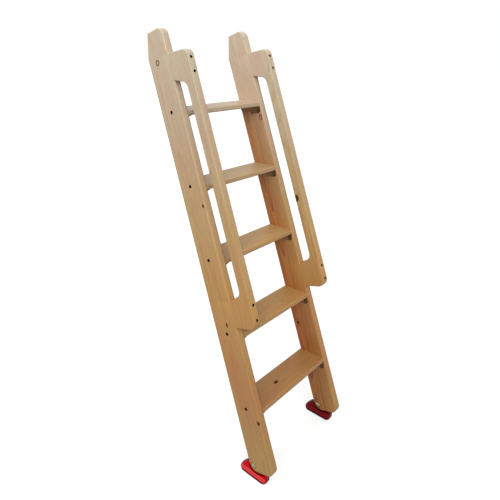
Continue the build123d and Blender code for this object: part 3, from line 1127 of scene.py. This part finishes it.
class Stringer(LeaningBoard):
    """One of the two leaning side boards, rounded at its foot and cut plumb where it meets the bed."""

    KIND = "stringer"
    CORNERS = (
        Corner(0.0, 0.0, radius=32.0),
        Corner(LEAN.stringer_depth, 0.0, radius=27.0),
        Corner(LEAN.stringer_depth, LEAN.stringer_length, radius=28.0),
        Corner(LEAN.plumb_cut_depth, LEAN.stringer_length),
        Corner(0.0, LEAN.stringer_length - LEAN.plumb_cut_up),
    )
    EDGE_RADIUS = 4.5
    # Where the handrail's end blocks lie against the front edge, up the board.
    BLOCKS = ((RAIL.foot, RAIL.slot_foot), (RAIL.slot_head, RAIL.head))
    BLOCK_ENDS = (*BLOCKS[0], *BLOCKS[1])
    # What lies this near to the bed's face, in millimetres, belongs to the plumb cut.
    PLUMB_NEAR = 0.5

    def blank(self) -> Work:
        """Makes the board with its eased arrises and without its holes."""
        work = board_blank(self.CORNERS, LEAN.board_thickness)
        for up in self.BLOCK_ENDS:
            bmesh.ops.bisect_plane(work, geom=whole(work), dist=0.001, plane_co=(0.0, 0.0, up),
                                   plane_no=(0.0, 0.0, 1.0))
        # Painted shade goes on the front arrises of the +X face and the back arrises of the -X face.
        ease_arrises(work, [e for e in rim_edges(work, LEAN.board_thickness) if self._is_eased(e)],
                     self.EDGE_RADIUS, 3, lambda co: (co.x > 0.0) == (-co.y > LEAN.stringer_depth / 2))
        return work

    def _is_eased(self, edge: Edge) -> bool:
        """Tells whether an edge of a broad face is rounded: not at the plumb cut or under a rail block."""
        ends = [v.co for v in edge.verts]
        across = all(abs(c.z - ends[0].z) < NEAR for c in ends) and ends[0].z in self.BLOCK_ENDS
        at_plumb_cut = all((self.matrix @ c).y > -self.PLUMB_NEAR * MM for c in ends)
        middle = (ends[0] + ends[1]) / 2
        at_front = all(-c.y > LEAN.stringer_depth - NEAR for c in ends)
        under_block = any(low < middle.z < high for low, high in self.BLOCKS)
        faces = edge.link_faces
        inside = len(faces) == 2 and abs(faces[0].normal.dot(faces[1].normal)) > 0.99
        return not (across or at_plumb_cut or inside or (at_front and under_block))

    def holes(self) -> list[Hole]:
        """Gives the round recesses in the board's outer face."""
        out = self.side.outward
        start_x = LEAN.centre_x(self.side) + out * (LEAN.board_thickness / 2 + FASTENING.overrun)
        inward = Vector((-out, 0.0, 0.0))
        made = []
        for number in range(1, ROW.count + 1):
            top = ROW.top(number)
            start = Vector((start_x, LEAN.back_edge(top) - FASTENING.bolt_forward, top - ROW.thickness / 2))
            made.append((start, inward, FASTENING.bolt_recess_radius,
                         FASTENING.bolt_recess + FASTENING.overrun))
        y, z = LEAN.place(FASTENING.bed_nut_forward, FASTENING.bed_nut_up)
        made.append((Vector((start_x, y, z)), inward, FASTENING.bed_nut_gap_radius,
                     FASTENING.bed_nut_depth + FASTENING.overrun))
        return made

    def foot_nut_cutter(self) -> Piece:
        """Makes the cutter for the slot across the heel in which the foot's bar nut lies."""
        work = bmesh.new()
        turn = Matrix.Rotation(math.radians(-FASTENING.foot_nut_turn), 4, "X")
        middle = Matrix.Translation((0.0, -FASTENING.foot_nut_forward, FASTENING.foot_nut_up))
        width = LEAN.board_thickness + 4 * FASTENING.overrun
        add_box(work, (width, FASTENING.foot_nut_length, FASTENING.foot_nut_width), middle @ turn)
        round_off(work, edges_along_x(work), FASTENING.foot_nut_corner, 3)
        return finish_cutter(work, self.matrix)

    def cutters(self) -> Iterable[Piece]:
        """Makes the cutters of the round recesses and of the bar nut's slot."""
        yield round_cutter(self.holes())
        yield self.foot_nut_cutter()


class Handrail(LeaningBoard):
    """A board on the stringer's front edge: two end blocks joined by a grip, with a hand slot between."""

    KIND = "handrail"
    CORNERS = (
        Corner(LEAN.stringer_depth, RAIL.foot),
        Corner(RAIL.front, RAIL.foot_at_front, radius=29.0),
        Corner(RAIL.front, RAIL.head_at_front, radius=22.0),
        Corner(LEAN.stringer_depth, RAIL.head),
        Corner(LEAN.stringer_depth, RAIL.slot_head),
        Corner(RAIL.slot_front, RAIL.slot_head_at_front, radius=28.0),
        Corner(RAIL.slot_front, RAIL.slot_foot_at_front, radius=26.0),
        Corner(LEAN.stringer_depth, RAIL.slot_foot),
    )
    EDGE_RADIUS = 3.0

    def blank(self) -> Work:
        """Makes the board with its arrises eased, but not where it lies on the stringer."""
        work = board_blank(self.CORNERS, LEAN.board_thickness)
        edges = [edge for edge in rim_edges(work, LEAN.board_thickness)
                 if any(-v.co.y > LEAN.stringer_depth + 0.5 for v in edge.verts)]
        # Painted shade goes on the +X face's arrises in front of the grip's middle.
        ease_arrises(work, edges, self.EDGE_RADIUS, 3, lambda co: co.x > 0.0 and -co.y > RAIL.grip_middle)
        return work

    def cutters(self) -> Iterable[Piece]:
        """Makes the cutter of the screws' recesses in the front edge."""
        back = Vector((0.0, LEAN.cosine, -LEAN.sine))
        holes = []
        for up in FASTENING.rail_screw_rows:
            y, z = LEAN.place(RAIL.front + FASTENING.overrun, up)
            start = Vector((LEAN.centre_x(self.side), y, z))
            holes.append((start, back, FASTENING.rail_screw_radius,
                          FASTENING.rail_screw_recess + FASTENING.overrun))
        yield round_cutter(holes)


class Tread(Board):
    """A flat tread between the stringers, with rounded long edges."""

    EDGE_RADIUS = 4.0

    def __init__(self, number: int, shop: PineShop, grains: Mapping[str, Grain]) -> None:
        """Works out the place of a tread from its number, which counts from the top."""
        self.top = ROW.top(number)
        self.back = LEAN.back_edge(self.top)
        super().__init__("tread_%d" % number, shop, grains, Matrix.Scale(MM, 4),
                         ((0.0, math.radians(-90.0), 0.0), (self.top, -self.back, 0.0)))

    def blank(self) -> Work:
        """Makes the tread in its place, in millimetres."""
        middle = Vector(((LEAN.inner_width + LEAN.board_thickness) / 2, self.back - ROW.depth / 2,
                         self.top - ROW.thickness / 2))
        work = bmesh.new()
        add_box(work, (LEAN.inner_width, ROW.depth, ROW.thickness), Matrix.Translation(middle))
        # Painted shade goes on the front arris underneath and the back arris on top.
        ease_arrises(work, edges_along_x(work), self.EDGE_RADIUS, 4,
                     lambda co: (co.y < middle.y) == (co.z < middle.z))
        return work


class Foot:
    """A moulded red foot that cradles the rounded heel: a round-ended boat with a step along the wood."""

    WIDTH = 32.0
    EDGE_RADIUS = 10.5
    OVERLAP = 2.0
    STEP_WIDTH = 2.8
    STEP_DEPTH = 1.5
    STEP_CUTTER = 8.0
    HEEL_CUTTER_TOP = 300.0
    # Corners of the side view behind the board (forward, up, reach of the rounding).
    INSIDE = ((48.0, 42.0, 0.0), (28.0, 33.0, 0.0))
    HIP = (-14.5, 32.0, 14.0)
    # Corners of the side view above the floor (behind the heel, height, reach of the rounding).
    WAIST = (52.0, 25.0, 8.0)
    BULGE = (52.5, 0.0, 14.8)
    TOE = (-59.0, 0.0, 17.0)
    NOSE = (-66.0, 52.0, 12.0)
    # Painted shade: rims turned away from this direction are painted dark, from the first cosine down to the
    # second.
    UNSHADED_TOWARDS = Vector((-0.53, -0.44, 0.72))
    UNSHADED_ABOVE = 0.52
    DARK_BELOW = 0.42
    # The broad sides get no painted shade: the share of X in a normal at which they begin and are reached.
    BROAD_FROM = 0.86
    BROAD_AT = 0.97

    def __init__(self, side: Side, plastic: PlasticFinish) -> None:
        """Keeps the side and its plastic."""
        self.side = side
        self.plastic = plastic

    def corners(self) -> list[tuple[Vector, float]]:
        """Gives the corners of the foot's side view at X = 0 with the tangent length of each rounding."""
        heel_y, _ = LEAN.place(0.0, 0.0)
        on_board = [(Vector((0.0, *LEAN.place(f, u))), reach) for f, u, reach in (*self.INSIDE, self.HIP)]
        on_floor = [(Vector((0.0, heel_y + y, LEAN.floor + z)), reach)
                    for y, z, reach in (self.WAIST, self.BULGE, self.TOE, self.NOSE)]
        return on_board + on_floor

    def outline(self) -> Work:
        """Draws the foot's side view as one face at X = 0, in millimetres."""
        work = bmesh.new()
        corners = self.corners()
        verts = [work.verts.new(place) for place, _ in corners]
        work.faces.new(verts)
        for vert, (_, reach) in zip(verts, corners):
            if reach > 0:
                round_off(work, [vert], reach, 12, "VERTICES")
        return work

    def build(self) -> Piece:
        """Moulds the foot round the stringer's heel."""
        name = self.side.value + "_foot"
        work = self.outline()
        half = self.WIDTH / 2
        # Only the half at +X is shaped, from a little beyond the middle plane, and is then mirrored.
        bmesh.ops.translate(work, verts=work.verts, vec=(-self.OVERLAP, 0.0, 0.0))
        thicken(work, half + self.OVERLAP)
        ease_arrises(work, rim_edges(work, self.WIDTH), self.EDGE_RADIUS, 8, lambda co: False)
        middle = Matrix.Translation((LEAN.centre_x(self.side), 0.0, 0.0))
        # The second material is painted shadow in the step along the wood.
        piece = finish_mesh(work, name + "_moulding", Matrix.Scale(MM, 4) @ middle,
                            (self.plastic.material(self.side), self.plastic.seam()))
        cut_away(piece, self._heel_cutter(0.0, self.WIDTH * 2, 0.0))
        cut_away(piece, self._heel_cutter(self.STEP_WIDTH, self.STEP_CUTTER,
                                          half - self.STEP_DEPTH + self.STEP_CUTTER / 2))
        mirror_half(piece, LEAN.centre_x(self.side))
        self._paint_rim_shade(piece)
        settle(piece, [name])
        return piece

    def _paint_rim_shade(self, piece: Piece) -> None:
        """Marks the roundings that turn down, back and to +X for painted shade in the material."""
        for loop, mark in zip(piece.data.loops, piece.data.attributes["edge_shade"].data):
            normal = piece.data.vertices[loop.vertex_index].normal
            clean = normal.dot(self.UNSHADED_TOWARDS)
            turned = (self.UNSHADED_ABOVE - clean) / (self.UNSHADED_ABOVE - self.DARK_BELOW)
            rounded = (self.BROAD_AT - abs(normal.x)) / (self.BROAD_AT - self.BROAD_FROM)
            mark.value = min(max(turned, 0.0), 1.0) * min(max(rounded, 0.0), 1.0)

    def _heel_cutter(self, grown: float, thickness: float, across: float) -> Piece:
        """Makes a cutter in the shape of the stringer's heel.

        Args:
            grown: How far its outline stands outside the stringer's.
            thickness: Its thickness.
            across: How far its middle lies from the stringer's middle plane.

        Returns:
            The cutter, in metres.
        """
        first, second = Stringer.CORNERS[:2]
        far = LEAN.stringer_depth + grown
        work = board_blank((
            Corner(-grown, -grown, first.radius + grown),
            Corner(far, -grown, second.radius + grown),
            Corner(far, self.HEEL_CUTTER_TOP),
            Corner(-grown, self.HEEL_CUTTER_TOP),
        ), thickness, 16)
        return finish_cutter(work, LEAN.board_matrix(self.side) @ Matrix.Translation((across, 0.0, 0.0)))


class BracketScrews:
    """The two washered leaf screws and the two shelf screws of one tread bracket."""

    HEAD_RADIUS = 4.2
    HEAD_HEIGHT = 2.8
    # The head's half profile from its top, in shares of its radius and its height.
    HEAD_PROFILE = ((0.0, 1.0), (0.45, 0.97), (0.8, 0.72), (1.0, 0.32), (1.0, 0.0))
    # The dark cross on the head is painted shade that stands for its recess: its arms' sizes, and how
    # far their middle lies under the head's top.
    CROSS_SIZE = (HEAD_RADIUS * 1.15, 1.0, 0.8)
    CROSS_DROP = 0.35
    WASHER_HOLE = HEAD_RADIUS * 0.6
    WASHER_RADIUS = 7.2
    WASHER_THICKNESS = 1.0
    WASHER_BEVEL = 0.35
    WASHER_SLOT = 1
    SHEET = 2.5
    START = 15.5
    LENGTH = 95.5
    WIDTH = 22.0
    END_INSET = 7.0
    SIDE_INSET = 8.0
    HOLE_DROP = 14.0
    SHELF_MARGIN = 5.0

    def __init__(self, side: Side, number: int, head: Material, washer: Material) -> None:
        """Keeps the bracket's side and number and the two finishes."""
        self.side = side
        self.number = number
        self.head = head
        self.washer = washer

    def _screw(self, work: Work, matrix: Matrix) -> None:
        """Adds a domed screw head with a dark cross, on a washer, standing along +Z of a matrix.

        Args:
            work: The mesh that gets it.
            matrix: The place of the washer's underside, in millimetres.
        """
        thick, radius, bevel = self.WASHER_THICKNESS, self.WASHER_RADIUS, self.WASHER_BEVEL
        head = self._lathe(work, [(self.HEAD_RADIUS * r, self.HEAD_HEIGHT * z) for r, z in self.HEAD_PROFILE],
                           thick)
        dark = self._lathe(work, [(self.WASHER_HOLE, thick), (radius - bevel, thick), (radius, thick - bevel),
                                  (radius, 0.0)], 0.0)
        place = Matrix.Translation((0.0, 0.0, thick + self.HEAD_HEIGHT - self.CROSS_DROP))
        for turn in (0.0, math.pi / 2):
            dark += add_box(work, self.CROSS_SIZE, place @ Matrix.Rotation(turn, 4, "Z"))
        # The washer and the cross get the dark steel: painted shadow round the head and in its recess.
        for face in {f for v in dark for f in v.link_faces}:
            face.material_index = self.WASHER_SLOT
        bmesh.ops.transform(work, matrix=matrix, verts=head + dark)

    def _lathe(self, work: Work, profile: Sequence[Pair], lift: float) -> list[Vert]:
        """Spins a profile of (radius, height) points about Z and returns the new vertices."""
        before = set(work.verts)
        chain = [work.verts.new((r, 0.0, z + lift)) for r, z in profile]
        edges = [work.edges.new(pair) for pair in zip(chain, chain[1:])]
        bmesh.ops.spin(work, geom=chain + edges, cent=(0.0, 0.0, 0.0), axis=(0.0, 0.0, 1.0),
                       angle=2 * math.pi, steps=20, use_merge=True, use_duplicate=False)
        bmesh.ops.remove_doubles(work, verts=[v for v in work.verts if v not in before], dist=0.001)
        return [v for v in work.verts if v not in before]

    def build(self) -> Piece:
        """Makes the four screws of the bracket."""
        work = bmesh.new()
        inward = -self.side.outward
        face_x = LEAN.centre_x(self.side) + inward * LEAN.board_thickness / 2
        top = ROW.top(self.number)
        under = top - ROW.thickness
        middle_y = LEAN.back_edge(top) - self.START - self.LENGTH / 2
        shelf_length = self.LENGTH - 2 * self.SHELF_MARGIN
        sideways = Vector((inward, 0.0, 0.0)).to_track_quat("Z", "Y").to_matrix().to_4x4()
        for end in (-1, 1):
            y = middle_y + end * (self.LENGTH / 2 - self.END_INSET)
            leaf = Vector((face_x + inward * self.SHEET, y, under - self.HOLE_DROP))
            self._screw(work, Matrix.Translation(leaf) @ sideways)
            y = middle_y + end * (shelf_length / 2 - 2 * self.END_INSET)
            shelf = Vector((face_x + inward * (self.WIDTH - self.SIDE_INSET), y, under - self.SHEET))
            self._screw(work, Matrix.Translation(shelf) @ Matrix.Rotation(math.pi, 4, "X"))
        name = "%s_bracket_screws_%d" % (self.side.value, self.number)
        piece = finish_mesh(work, name, Matrix.Scale(MM, 4), (self.head, self.washer))
        settle(piece, [])
        return piece


class Hardware:
    """The bolts, screws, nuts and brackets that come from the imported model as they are."""

    def __init__(self, bright: Material, dark: Material, bracket: Material) -> None:
        """Keeps the three steels."""
        self.bright = bright
        self.dark = dark
        self.bracket = bracket

    def dress(self) -> None:
        """Gives every steel node its finish."""
        for name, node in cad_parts.items():
            if "bracket" in name:
                material = self.bracket
            elif name.endswith("_nut"):
                material = self.bright
            # Bolts and screws get browned steel, made darker than their finish as painted shade in their
            # recesses.
            elif "bolt" in name or "screw" in name:
                material = self.dark
            else:
                continue
            node.data.materials.clear()
            node.data.materials.append(material)
            LOG.info("%s: %s", name, material.name)


@dataclass(frozen=True)
class Studio:
    """A plain white room: camera, two soft lamps, an even sky and a floor that keeps the shadow."""

    camera_place: Point = (-1.042205, -1.36453, -0.01455)
    heading: float = 48.58
    pitch: float = 13.393
    focal_pixels: float = 483.253
    image_pixels: float = 500.0
    principal_y: float = 167.388
    sensor: float = 36.0
    clip: Pair = (0.05, 60.0)
    sky: float = 0.55
    key_towards: Point = (-0.70, 0.13, 0.70)
    key_softness: float = 12.0
    key_strength: float = 0.84
    front_towards: Point = (-0.56, -0.62, 0.60)
    front_softness: float = 50.0
    front_strength: float = 2.2
    front_colour: Point = (0.92, 1.0, 0.96)
    # The floor: half its width in metres, what it throws back on the object, what is seen, and its glow.
    floor_half: float = 30.0
    floor_lit: str = "#6E6862"
    floor_seen: str = "#B4B4B4"
    floor_glow: float = 0.62

    def camera(self) -> None:
        """Puts the camera where the photograph was taken from."""
        yaw, pitch = math.radians(self.heading), math.radians(self.pitch)
        forward = Vector((math.sin(yaw) * math.cos(pitch), math.cos(yaw) * math.cos(pitch), -math.sin(pitch)))
        right = Vector((math.cos(yaw), -math.sin(yaw), 0.0))
        up = right.cross(forward)
        data = bpy.data.cameras.new("camera")
        data.sensor_width = self.sensor
        data.lens = data.sensor_width * self.focal_pixels / self.image_pixels
        data.shift_y = (self.principal_y - self.image_pixels / 2) / self.image_pixels
        data.clip_start, data.clip_end = self.clip
        camera = bpy.data.objects.new("camera", data)
        bpy.context.scene.collection.objects.link(camera)
        matrix = Matrix((right, up, -forward)).transposed().to_4x4()
        matrix.translation = Vector(self.camera_place)
        camera.matrix_world = matrix
        bpy.context.scene.camera = camera

    def lamp(self, name: str, towards: Point, softness: float, strength: float,
             colour: Point = (1.0, 1.0, 1.0)) -> None:
        """Adds an even soft light from one direction.

        Args:
            name: The lamp's name.
            towards: The direction in which it stands.
            softness: Its apparent width, in degrees.
            strength: Its strength; pi lights a surface that faces it as brightly as it is written.
            colour: Its colour, near white.
        """
        data = bpy.data.lights.new(name, "SUN")
        data.color = colour
        data.energy = strength
        data.angle = math.radians(softness)
        lamp = bpy.data.objects.new(name, data)
        bpy.context.scene.collection.objects.link(lamp)
        lamp.rotation_euler = Vector(towards).to_track_quat("Z", "Y").to_euler()

    def floor(self) -> None:
        """Makes the floor, which looks white and keeps a faint shadow."""
        work = bmesh.new()
        bmesh.ops.create_grid(work, x_segments=1, y_segments=1, size=self.floor_half)
        material, tree, shader = new_material("matt_white_paper")
        floor = finish_mesh(work, "floor", Matrix.Translation((0.0, 0.0, LEAN.floor * MM)), (material,))
        add = partial(add_node, tree)
        ray = add("LightPath")
        seen = gathered(tree, "MAXIMUM", (ray.outputs["Is Camera Ray"], ray.outputs["Is Glossy Ray"]))
        colour = add("Mix", {6: linear_rgba(self.floor_lit), 7: linear_rgba(self.floor_seen)}, {0: seen},
                     data_type="RGBA")
        wire(tree, shader, {"Roughness": 0.9, "Specular IOR Level": 0.1}, {"Base Color": colour.outputs[2]})
        lift = add("Math", {1: self.floor_glow}, {0: seen}, operation="MULTIPLY")
        glow = add("Emission", {"Color": WHITE}, {"Strength": lift})
        both = add("AddShader", links={0: shader, 1: glow})
        wire(tree, tree.nodes["Material Output"], links={"Surface": both})

    def world(self) -> None:
        """Makes the even sky, which looks pure white and lights the object plainly."""
        world = bpy.data.worlds.new("white_room")
        bpy.context.scene.world = world
        world.use_nodes = True
        tree = world.node_tree
        ray = add_node(tree, "LightPath")
        seen = gathered(tree, "MAXIMUM", [
            ray.outputs["Is %s Ray" % kind] for kind in ("Camera", "Glossy", "Transmission")])
        strength = add_node(tree, "MapRange", {3: self.sky, 4: 1.0}, {0: seen})
        wire(tree, tree.nodes["Background"], {"Color": WHITE}, {"Strength": strength})

    def build(self) -> None:
        """Sets up the whole studio."""
        self.camera()
        self.floor()
        self.world()
        self.lamp("key_lamp", self.key_towards, self.key_softness, self.key_strength)
        self.lamp("front_lamp", self.front_towards, self.front_softness, self.front_strength,
                  self.front_colour)
        bpy.context.scene.view_settings.view_transform = "Standard"


def board_grains() -> dict[str, Grain]:
    """Gives each board its own place in its tree, and the knots that show on it."""
    inner = LEAN.board_thickness / 2
    return {
        "left_stringer": Grain((46.0, -70.0), (0.012, 0.03), 1.3, knots=(
            Knot(92.0, 924.0, 4.0, 1.4),
            Knot(63.0, 520.0, 3.2, 2.1),
            Knot(96.0, 187.0, 4.4, 1.5),
            # The dark ring round the bed nut's gap is painted shade about the recess.
            Knot(FASTENING.bed_nut_forward, FASTENING.bed_nut_up, 7.6, 1.0, KnotKind.DARK_RING),
        ), painted_shade_face=inner),
        "left_handrail": Grain((-52.0, -150.0), (0.02, -0.015), 4.1, knots=(
            Knot(168.0, 1024.0, 3.0, 1.2, KnotKind.FAINT),
        )),
        "right_stringer": Grain((40.0, -20.0), (-0.01, -0.02), 7.7, knots=(
            Knot(21.0, 362.0, 4.8, 1.2),
            Knot(63.0, 306.0, 4.0, 1.3, KnotKind.FAINT),
            Knot(91.0, 1184.0, 5.4, 1.7, KnotKind.DARK_RING),
            Knot(55.0, 1209.0, 4.2, 0.8),
        ), painted_shade_face=-inner),
        "right_handrail": Grain((60.0, -190.0), (-0.02, 0.01), 9.2, knots=(
            Knot(166.0, 853.0, 8.0, 1.4),
        )),
        "tread_1": Grain((50.0, -60.0), (0.02, 0.02), 11.0),
        "tread_2": Grain((-45.0, -30.0), (-0.03, 0.01), 13.6),
        "tread_3": Grain((60.0, -80.0), (0.015, -0.03), 17.2),
        "tread_4": Grain((48.0, -40.0), (-0.02, 0.02), 19.9, knots=(
            Knot(70.0, 269.0, 3.4, 1.5, KnotKind.FAINT),
        )),
        "tread_5": Grain((38.0, -58.0), (0.02, -0.01), 23.5, knots=(Knot(55.0, 151.0, 4.8, 1.8),)),
    }


def main() -> None:
    """Builds every piece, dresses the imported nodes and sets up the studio."""
    logging.basicConfig(level=logging.INFO, format="%(name)s: %(message)s")
    shop = PineShop(PineFinish())
    grains = board_grains()
    reds = {
        Side.LEFT: PlasticFinish("moulded_red_polypropylene", "#D2000C", "#B60009", "#450104", "#FF5C62"),
        # The right foot is the same plastic painted darker: painted shade, as it stands in the shade.
        Side.RIGHT: PlasticFinish("moulded_red_polypropylene_in_painted_shade", "#74030E", "#5E020B", "#1E0103",
                                  "#92141F"),
    }
    bright = SteelFinish("zinc_plated_turned_steel", "#C9BAA0", "#A08E74", 0.38).material()
    # Browner and darker than yellow zinc: painted reflection of the wood and painted shade under the treads.
    screw = SteelFinish("yellow_zinc_steel_with_painted_shade", "#8A6A48", "#5E452C", 0.45).material()
    # Browned steel, made darker still: painted shade in recesses, round the bracket screws' heads and in
    # their crosses.
    dark = SteelFinish("browned_steel_with_painted_shade", "#1E120B", "#0E0704", 0.6).material()
    # Browner and darker than yellow zinc: painted reflection of the wood and painted shade under the treads.
    sheet = SteelFinish("yellow_zinc_sheet_with_painted_shade", "#84603E", "#4C3422", 0.46).material()
    for side in Side:
        Stringer(side, shop, grains).build()
        Handrail(side, shop, grains).build()
        Foot(side, reds[side]).build()
    for number in range(1, ROW.count + 1):
        Tread(number, shop, grains).build()
        for side in Side:
            BracketScrews(side, number, screw, dark).build()
    Hardware(bright, dark, sheet).dress()
    Studio().build()
    for name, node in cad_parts.items():
        if not node.data.materials:
            LOG.warning("%s has no material", name)


if __name__ == "__main__":
    main()
